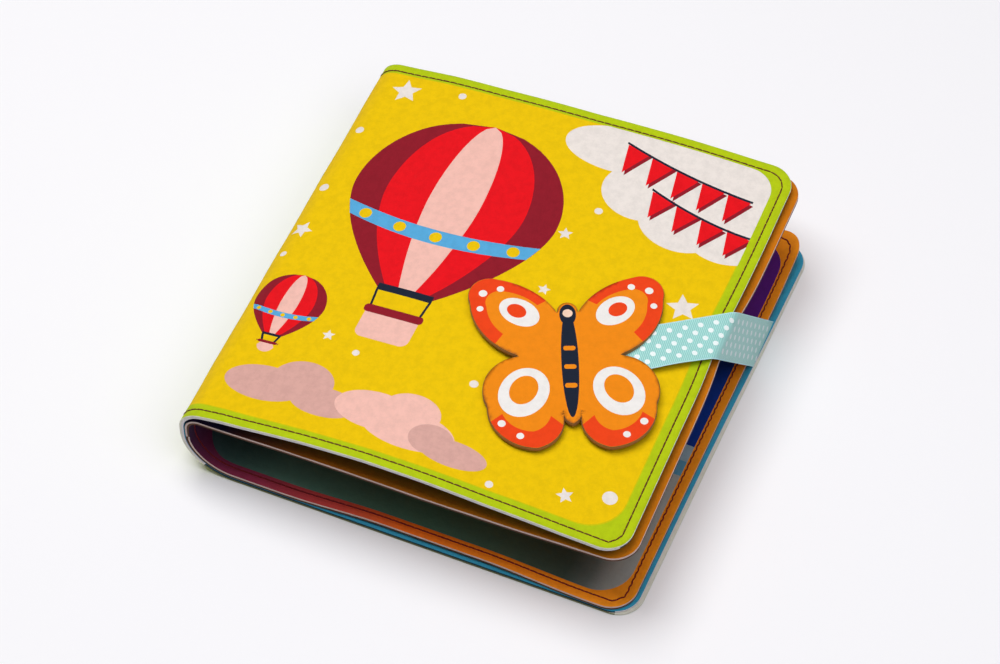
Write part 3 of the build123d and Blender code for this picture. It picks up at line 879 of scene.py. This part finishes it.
def seamPiece(name, line, toSpace, depth, faceSign, unit, material, pitch=cover["pitch"], slant=0.0):
    centres, ways = stitchPlaces(line, pitch)
    slants = slant * (0.35 + 0.65 * np.abs(ways[:, 1]))
    turn = np.radians(np.where(np.arange(len(ways)) % 2, slants, -slants))
    c, s = np.cos(turn), np.sin(turn)
    ways = np.c_[ways[:, 0] * c - ways[:, 1] * s, ways[:, 0] * s + ways[:, 1] * c]
    height = np.full(len(centres), -depth - faceSign * seams["proud"])
    middle, ahead, outward = faceWays(toSpace, centres, height, ways, np.c_[-ways[:, 1], ways[:, 0]], 0.5)
    return repeatOn(name, middle, ahead, outward * faceSign, unit, material)


coverSeamOut = seamPiece("cover_seam_outside", coverSeam, onCoverSheet, 0.0, 1, coverStitch, brownThread)
coverSeamIn = seamPiece("cover_seam_inside", coverSeam, onCoverSheet, 2 * sheet, -1, coverStitch, brownThread)
pageSeamOut, pageSeamIn = (
    seamPiece(name, leafSeam, onLeaf, depth, faceSign, pageStitch, redThread,
              seams["pagePitch"], seams["pageSlant"])
    for name, depth, faceSign in (("pages_seam_outside", 0.0, 1), ("pages_seam_inside", thick, -1)))

# Ribbon strap

ribbon = {
    "width": 20.0, "thick": 0.35, "angle": 37.6, "exitY": 45.5, "sewn": 8.5, "bottomX": 90.9,
    "bendX": 84.3, "bendZ": 45.98, "bendRadius": 3.5, "riseX": 56.0, "riseRadius": 60.0, "endX": 21.0,
    # How far the tail side stands off the cover, with that place's middle and width
    "edgeLift": (0.9, 57, 9),
    "ribPitch": 0.8, "selvedge": (0.06, 0.45), "step": 0.8,
    "dotRadius": 1.16, "dotGap": 6.5, "dotRowGap": 3.2, "dotRows": 2, "dotProud": 0.012,
}


def filletPath(points, radii):
    # Runs through the points with an arc at each corner, in x and z
    pieces = []
    here = np.array(points[0], float)
    for (a, b, c), radius in zip(zip(points[:-2], points[1:-1], points[2:]), radii):
        a, b, c = (np.array(p, float) for p in (a, b, c))
        u, v = (a - b) / np.linalg.norm(a - b), (c - b) / np.linalg.norm(c - b)
        angle = math.acos(float(u @ v))
        reach = radius / math.tan(angle / 2)
        start, end = b + u * reach, b + v * reach
        centre = b + (u + v) / np.linalg.norm(u + v) * radius / math.sin(angle / 2)
        a0, a1 = (math.degrees(math.atan2(*(p - centre)[::-1])) for p in (start, end))
        a1 -= 360 * round((a1 - a0) / 360)    # the short way round
        pieces += [("line", here, start), ("arc", tuple(centre), radius, a0, a1)]
        here = end
    pieces.append(("line", here, np.array(points[-1], float)))
    return samplePath(pieces, 0.1)


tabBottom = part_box("closure_tab")[0].z / metre
ribbonTop = tabBottom - ribbon["thick"] / 2
sewnZ = sheet + ribbon["thick"] / 2
ribbonPath = filletPath(
    [(cover["backEdge"] - ribbon["sewn"], sewnZ), (ribbon["bottomX"], sewnZ),
     (ribbon["bendX"], ribbon["bendZ"]),
     (ribbon["riseX"], ribbonTop), (ribbon["endX"] - 20, ribbonTop)],
    [0.5, ribbon["bendRadius"], ribbon["riseRadius"]])
edgeRun = ribbon["sewn"] + 0.2
slant = math.radians(ribbon["angle"])
past = ribbonPath["run"] > edgeRun
endRun = float(np.interp(-ribbon["endX"], -ribbonPath["x"][past], ribbonPath["run"][past]))
ribbonLength = (endRun - edgeRun) / math.cos(slant)


def onRibbon(flat, out):
    run = flat[:, 0] * math.cos(slant) + flat[:, 1] * math.sin(slant)
    y = ribbon["exitY"] - flat[:, 0] * math.sin(slant) + flat[:, 1] * math.cos(slant)
    points = onPath(ribbonPath, np.clip(run + edgeRun, 0, None), y, -out)
    height, middle, width = ribbon["edgeLift"]
    points[:, 2] += height * smooth(-flat[:, 1], -2, 10) * swell(run, middle, width)
    return points


def ribbonCorners(inset):
    w = ribbon["width"] / 2 - inset
    first, last = ((-edgeRun + inset - v * math.sin(slant)) / math.cos(slant) for v in (-w, w))
    return np.array([(first, -w), (ribbonLength - inset, -w), (ribbonLength - inset, w), (last, w)])


def ribbonOutline(inset):
    return resample(ribbonCorners(inset), ribbon["step"], ribbonCorners(0.0))


# Polyester grosgrain: close ribs across the ribbon with a soft shine on each
ribbonMaterial, tree, shader = newMaterial("aqua grosgrain ribbon", "#8ED2CC")
flat = addNode(tree, "ShaderNodeUVMap", uv_map="flat")
ribs = addNode(tree, "ShaderNodeTexWave",
               {"Vector": flat.outputs[0], "Scale": 0.314 / (ribbon["ribPitch"] * metre), "Distortion": 0.25},
               wave_type="BANDS", bands_direction="X")    # a wave repeats every 0.314 at scale 1
blend = addNode(tree, "ShaderNodeMix",
                {0: ribs.outputs[1], 6: linearColour("#78BBB5"), 7: linearColour("#AEDED8")},
                data_type="RGBA")
lumps = addNode(tree, "ShaderNodeBump", {"Strength": 0.5, "Distance": 0.0002, "Height": ribs.outputs[1]})
setInputs(shader, {"Base Color": blend.outputs[2], "Normal": lumps.outputs[0],
                   "Roughness": 0.55, "Sheen Weight": 0.2})
selvedge = twoTone("pale blue selvedge", "#A9D9DE", "#BFE4E6", 0.3, 0.7)
dotInk = twoTone("white ribbon dot", "#F0F5F4", "#DFECEA", 0.3, 0.6)
# The same white dots painted darker for the rise past the front cover's edge: painted shade
riseShadeInk = twoTone("ribbon dot with painted shade", "#E6F0F0", "#D2E4E4", 0.3, 0.6)

thin = ribbon["thick"]
outer, inner = (ribbonCorners(inset) for inset in ribbon["selvedge"])
selvedges = [np.array([outer[i], outer[i + 1], inner[i + 1], inner[i]]) for i in (0, 2)]
strap = makeFelt(
    "ribbon_strap", ribbonOutline, [(-thin / 2, 0.05), (0.0, 0.0), (thin / 2, 0.05)],
    {"shapes": [(resample(polygon, ribbon["step"]), 1) for polygon in selvedges],
     "step": ribbon["step"], "kind": 0},
    {"shapes": [], "step": ribbon["step"], "kind": 0}, onRibbon, [ribbonMaterial, selvedge], 1)

dots = []
for row in range(-ribbon["dotRows"], ribbon["dotRows"] + 1):
    v = row * ribbon["dotRowGap"]
    for i in range(-3, 20):
        u = (i + (row % 2) / 2) * ribbon["dotGap"]
        # Past the edge, to the end
        if u * math.cos(slant) + v * math.sin(slant) > 0.8 and u < ribbonLength - 1.4:
            dots.append((u, v))
dots = np.array(dots)
sides = 14
angles = [2 * math.pi * i / sides for i in range(sides)]
ring = [(ribbon["dotRadius"] * math.cos(angle), ribbon["dotRadius"] * math.sin(angle), 0.0)
        for angle in angles]
dome = [(x * 0.86, y * 0.86, 0.03) for x, y, _ in ring]    # ink that stands a little proud
dotUnit = makeUnit(
    "dot_unit", ring + dome,
    [(i, (i + 1) % sides, sides + (i + 1) % sides, sides + i) for i in range(sides)]
    + [tuple(range(sides, 2 * sides)), tuple(range(sides))[::-1]], smoothed=False)
middle, ahead, outward = faceWays(
    onRibbon, dots, np.full(len(dots), thin / 2 + ribbon["dotProud"]),
    np.array((1.0, 0)), np.array((0, 1.0)), 0.3)
# Dots on the rise get the darker ink, which is painted shade
onRise = middle[:, 2] < ribbon["bendZ"] - 1.0
ribbonDots, riseDots = (
    repeatOn(name, middle[chosen], ahead[chosen], outward[chosen], dotUnit, inkAndShade)
    for name, chosen, inkAndShade in (("ribbon_dots", ~onRise, dotInk), ("ribbon_rise_dots", onRise, riseShadeInk)))

# Closure tab: a butterfly cut from stiff felt

tab = {
    "x": 32.0, "y": -26.0, "turn": 24.0, "thick": 2.0, "droop": 1.7, "halfSpan": 38.5,
    # Half the outline as arcs through three points, in shares of half the span, from the head to the tail
    "arcs": [
        ((0.0, 0.70), (0.075, 0.662), (0.104, 0.56)), ((0.104, 0.56), (0.351, 0.87), (0.70, 1.04)),
        ((0.70, 1.04), (0.935, 1.0), (1.0, 0.753)), ((1.0, 0.753), (0.857, 0.299), (0.52, 0.013)),
        ((0.52, 0.013), (0.831, -0.169), (0.857, -0.571)),
        ((0.857, -0.571), (0.688, -0.974), (0.364, -1.104)),
        ((0.364, -1.104), (0.182, -1.0), (0.094, -0.65)), ((0.094, -0.65), (0.062, -0.777), (0.0, -0.818)),
    ],
    # Print of one side: arcs of a rim with its middle and inner share, rings and dots; then of the body
    "rims": [(1, 4, (19, 21), 0.66), (5, 7, (18, -19), 0.66)],
    "rings": [((19, 22.5, 9.0, 6.2, 42), "white"), ((20, 23.2, 4.2, 3.2, 42), "red orange"),
              ((18.5, -16.5, 9.6, 11.6, 28), "white"), ((18.5, -15.5, 5.4, 6.8, 28), "orange")],
    "dots": [(26.0, 35.0, 1.5), (33.0, 33.0, 1.7), (34.4, 25.2, 1.4), (20.5, -36.5, 1.5), (27.5, -30.5, 1.6)],
    "stripes": (-14, -5, 4),
}
tabInks = {"orange": "#F08A14", "red orange": "#EC4418", "white": "#EFEBE6", "navy": "#1B2333",
           "peach": "#F2CFB6", "browned edge": "#A87A48"}
tabKind = {name: number for number, name in enumerate(tabInks)}
tabMaterials = [feltMaterial(name + " stiff felt", code, 0.85, 0.4, bump=0.4)
                for name, code in tabInks.items()]


def arcPoints(a, b, c, count=16):
    # Points along the arc through a, b and c, without the last one
    d = 2 * (a[0] * (b[1] - c[1]) + b[0] * (c[1] - a[1]) + c[0] * (a[1] - b[1]))
    ux = ((a @ a) * (b[1] - c[1]) + (b @ b) * (c[1] - a[1]) + (c @ c) * (a[1] - b[1])) / d
    uy = ((a @ a) * (c[0] - b[0]) + (b @ b) * (a[0] - c[0]) + (c @ c) * (b[0] - a[0])) / d
    centre = np.array((ux, uy))
    radius = np.linalg.norm(a - centre)
    start, through, end = (math.atan2(*(p - centre)[::-1]) for p in (a, b, c))
    span = (end - start) % (2 * math.pi)
    if (through - start) % (2 * math.pi) > span:
        span -= 2 * math.pi
    angles = [start + span * i / count for i in range(count)]
    return [centre + radius * np.array((math.cos(angle), math.sin(angle))) for angle in angles]


wingArcs = [tuple(np.array(p) * tab["halfSpan"] for p in arc) for arc in tab["arcs"]]
halfWing = [p for arc in wingArcs for p in arcPoints(*arc)]
mirrored = [np.array((-p[0], p[1])) for p in halfWing[1:]][::-1]
butterfly = resample(np.array(halfWing + [wingArcs[-1][2]] + mirrored), 1.0)


def butterflyOutline(inset):
    before, after = np.roll(butterfly, 1, axis=0), np.roll(butterfly, -1, axis=0)
    way = after - before
    way /= np.linalg.norm(way, axis=1)[:, None]
    area = np.sum(butterfly[:, 0] * after[:, 1] - after[:, 0] * butterfly[:, 1])
    return butterfly - np.c_[way[:, 1], -way[:, 0]] * np.sign(area) * inset


def onTab(flat, out):
    c, s = math.cos(math.radians(tab["turn"])), math.sin(math.radians(tab["turn"]))
    x = tab["x"] + flat[:, 0] * c - flat[:, 1] * s
    y = tab["y"] + flat[:, 0] * s + flat[:, 1] * c
    droop = tab["droop"] * smooth(np.hypot(flat[:, 0] * 0.9, flat[:, 1] - 4), 15, 44)
    return np.c_[x, y, tabBottom + tab["thick"] + out - droop]


def wingRim(first, last, centre, share):
    rim = np.array([p for arc in wingArcs[first:last] for p in arcPoints(*arc)])[4:-4]
    centre = np.array(centre)
    return np.vstack([centre + (rim - centre) * 0.985, (centre + (rim - centre) * share)[::-1]])


def tabRelief(flat):
    return 0.05 * np.sin(flat[:, 0] / 3.1) * np.sin(flat[:, 1] / 2.7)


wings = []
for mirror in ((1.0, 1.0), (-1.0, 1.0)):
    oneSide = [(wingRim(*rim), "red orange") for rim in tab["rims"]]
    oneSide += [(ellipse(*place), kind) for place, kind in tab["rings"]]
    oneSide += [(ellipse(x, y, radius, radius, count=16), "white") for x, y, radius in tab["dots"]]
    wings += [(shape * np.array(mirror), kind) for shape, kind in oneSide]
wings += [(ellipse(0, -3, 3.4, 25.5, 0, 60), "navy"), (ellipse(0, 20.5, 3.3, 5.2), "navy")]
wings += [(roundedRectangle((-2.4, y - 1.1), (2.4, y + 1.1), 1.0), "orange") for y in tab["stripes"]]
wings.append((ellipse(0, 21.2, 2.0, 2.0, count=18), "peach"))
tabPiece = makeFelt(
    "closure_tab_felt", butterflyOutline,
    [(0.0, 0.22), (0.18, 0.04), (1.0, 0.0), (tab["thick"] - 0.1, 0.04), (tab["thick"], 0.14)],
    {"shapes": [(resample(shape, 1.2), tabKind[kind]) for shape, kind in wings], "step": 1.6, "kind": 0,
     "relief": tabRelief},
    {"shapes": [], "step": 3.0, "kind": tabKind["white"]},
    onTab, tabMaterials, tabKind["browned edge"])

# Binding: one row of stitches through the spine, seen from outside and from between the leaves

binding = {"count": 58, "end": 93.3, "height": 1.0, "sunk": 0.05}
count = binding["count"]
ys = np.linspace(-binding["end"], binding["end"], count)
spineX = cover["footX"] - cover["footRadius"]
insideX = cover["footX"] - leaf["footRadius"] + leaf["thickness"]
bindingPoints = np.vstack([
    np.c_[np.full(count, x), ys, np.full(count, cover["footRadius"] + binding["height"])]
    for x in (spineX + binding["sunk"], insideX - binding["sunk"])])
bindingOut = np.vstack([np.tile((way, 0, 0), (count, 1)) for way in (-1.0, 1.0)])
bindingThread = repeatOn("binding_seam_thread", bindingPoints,
                         np.tile((0, 1.0, 0), (2 * count, 1)), bindingOut,
                         coverStitch, brownThread)

for unit in (coverStitch, pageStitch, dotUnit):
    bpy.data.objects.remove(unit)

# Which CAD nodes the pieces stand for, and what they move with

for piece, nodes in ((coverOuter, ("back_and_spine_outer", "front_cover_outer")),
                     (coverLining, ("back_and_spine_lining", "front_cover_lining")),
                     (coverSeamOut, ("back_and_spine_seam", "front_cover_seam")),
                     (pages, ("inner_pages",)), (pageSeamOut, ("pages_seam",)),
                     (bindingThread, ("binding_seam",)),
                     (strap, ("strap_ribbon", "ribbon_sewn_end")), (tabPiece, ("closure_tab",))):
    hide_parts(*nodes)
for piece in (coverOuter, coverLining, coverSeamOut, coverSeamIn):    # bends over the fold in the spine
    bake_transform(piece)
for piece in (pages, pageSeamOut, pageSeamIn, bindingThread):
    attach(piece, "back_and_pages")
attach(tabPiece, "strap")
for piece in (strap, ribbonDots, riseDots):    # bends where the ribbon leaves the back cover
    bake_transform(piece)
for node, material in (("loop_patch", twoTone("yellow loop tape", "#D9B40C", "#B8920A", 0.5, 0.95, 0.8)),
                       ("hook_patch", twoTone("white hook tape", "#EDEBE4", "#CFCBBF", 0.4, 0.9, 0.9))):
    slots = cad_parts[node].data.materials
    slots.clear()
    slots.append(material)
print("pieces placed")

# Floor, light and camera

studio = {
    "floor": "#F4F3F4", "backdrop": "#F5F4F7",
    "floorHalf": 6, "near": 0.6, "far": 1.6,    # metres from the book
    "floorLevel": -0.15,    # mm, just under the stitches of the back cover
    "sky": (0.96, 0.89, 1.0, 1.0), "skyStrength": 0.12,
    # Place, size, power and colour
    "key softbox": ((-0.45, 0.1, 1.7), 1.2, 26, (1, 1, 1)),
    "fill softbox": ((0.65, -0.3, 1.3), 1.1, 7.2, (0.93, 0.96, 1.0)),
}


def seenDirectly(tree):
    # 1 for rays from the camera, a mirror or a glass, so that the backdrop lights next to nothing
    path = addNode(tree, "ShaderNodeLightPath")
    seen = path.outputs["Is Camera Ray"]
    for kind in ("Is Glossy Ray", "Is Transmission Ray"):
        seen = addNode(tree, "ShaderNodeMath", {0: seen, 1: path.outputs[kind]},
                       operation="MAXIMUM").outputs[0]
    return seen


def paperFloor():
    # Matt white paper, which turns into an evenly lit backdrop where the lamps no longer reach
    material = plainMaterial("white paper floor", studio["floor"], 0.9)
    tree = material.node_tree
    place = addNode(tree, "ShaderNodeTexCoord")
    reach = addNode(tree, "ShaderNodeVectorMath", {0: place.outputs["Object"]}, operation="LENGTH")
    fade = addNode(tree, "ShaderNodeMapRange", {"Value": reach.outputs["Value"], "From Min": studio["near"],
                   "From Max": studio["far"]}, interpolation_type="SMOOTHSTEP")
    share = addNode(tree, "ShaderNodeMath", {0: fade.outputs["Result"], 1: seenDirectly(tree)},
                    operation="MULTIPLY")
    glow = addNode(tree, "ShaderNodeEmission", {"Color": linearColour(studio["backdrop"])})
    mix = addNode(tree, "ShaderNodeMixShader", {"Fac": share.outputs[0],
                  1: tree.nodes["Principled BSDF"].outputs["BSDF"], 2: glow.outputs["Emission"]})
    setInputs(tree.nodes["Material Output"], {"Surface": mix.outputs["Shader"]})
    return material


floorMesh = bpy.data.meshes.new("floor")
floorMesh.from_pydata([(x * studio["floorHalf"], y * studio["floorHalf"], studio["floorLevel"] * metre)
                       for x, y in ((-1, -1), (1, -1), (1, 1), (-1, 1))], [], [(0, 1, 2, 3)])
floorMesh.materials.append(paperFloor())
floor = bpy.data.objects.new("floor", floorMesh)
bpy.context.scene.collection.objects.link(floor)

world = bpy.data.worlds.new("studio")
bpy.context.scene.world = world
world.use_nodes = True
tree = world.node_tree
sky = tree.nodes["Background"]
setInputs(sky, {"Color": studio["sky"], "Strength": studio["skyStrength"]})
backdrop = addNode(tree, "ShaderNodeBackground", {"Color": linearColour(studio["backdrop"])})
mix = addNode(tree, "ShaderNodeMixShader", {"Fac": seenDirectly(tree), 1: sky.outputs["Background"],
              2: backdrop.outputs["Background"]})
setInputs(tree.nodes["World Output"], {"Surface": mix.outputs["Shader"]})

for name in ("key softbox", "fill softbox"):
    place, size, power, colour = studio[name]
    light = bpy.data.lights.new(name, "AREA")
    light.shape = "SQUARE"
    light.size = size
    light.energy = power
    light.color = colour
    lamp = bpy.data.objects.new(name, light)
    lamp.location = place
    lamp.rotation_mode = "QUATERNION"
    lamp.rotation_quaternion = (-Vector(place)).to_track_quat("-Z", "Y")
    bpy.context.scene.collection.objects.link(lamp)

# Angles in degrees, the focal length in pixels of a picture 1000 wide
camera = {
    "azimuth": 21.43, "elevation": 52.82, "roll": 1.15,
    "distance": 1294.25, "target": (-6.13, -3.91, 20.0), "focal": 3200, "sensor": 36.0,
}
azimuth, elevation, roll = (math.radians(camera[k]) for k in ("azimuth", "elevation", "roll"))
away = Vector((math.sin(azimuth) * math.cos(elevation), -math.cos(azimuth) * math.cos(elevation),
               math.sin(elevation)))
right = (-away).cross(Vector((0, 0, 1))).normalized()
upward = right.cross(-away)
rolledRight = right * math.cos(roll) + upward * math.sin(roll)
rolledUp = upward * math.cos(roll) - right * math.sin(roll)
lens = bpy.data.cameras.new("camera")
lens.sensor_width = camera["sensor"]
lens.lens = camera["focal"] * camera["sensor"] / 1000
lens.clip_start, lens.clip_end = 0.05, 20
view = bpy.data.objects.new("camera", lens)
turn = Matrix((rolledRight, rolledUp, away)).transposed()
view.matrix_world = (Matrix.Translation((Vector(camera["target"]) + away * camera["distance"]) * metre)
                     @ turn.to_4x4())
bpy.context.scene.collection.objects.link(view)
bpy.context.scene.camera = view
bpy.context.scene.view_settings.view_transform = "Standard"
print("floor, light and camera placed")
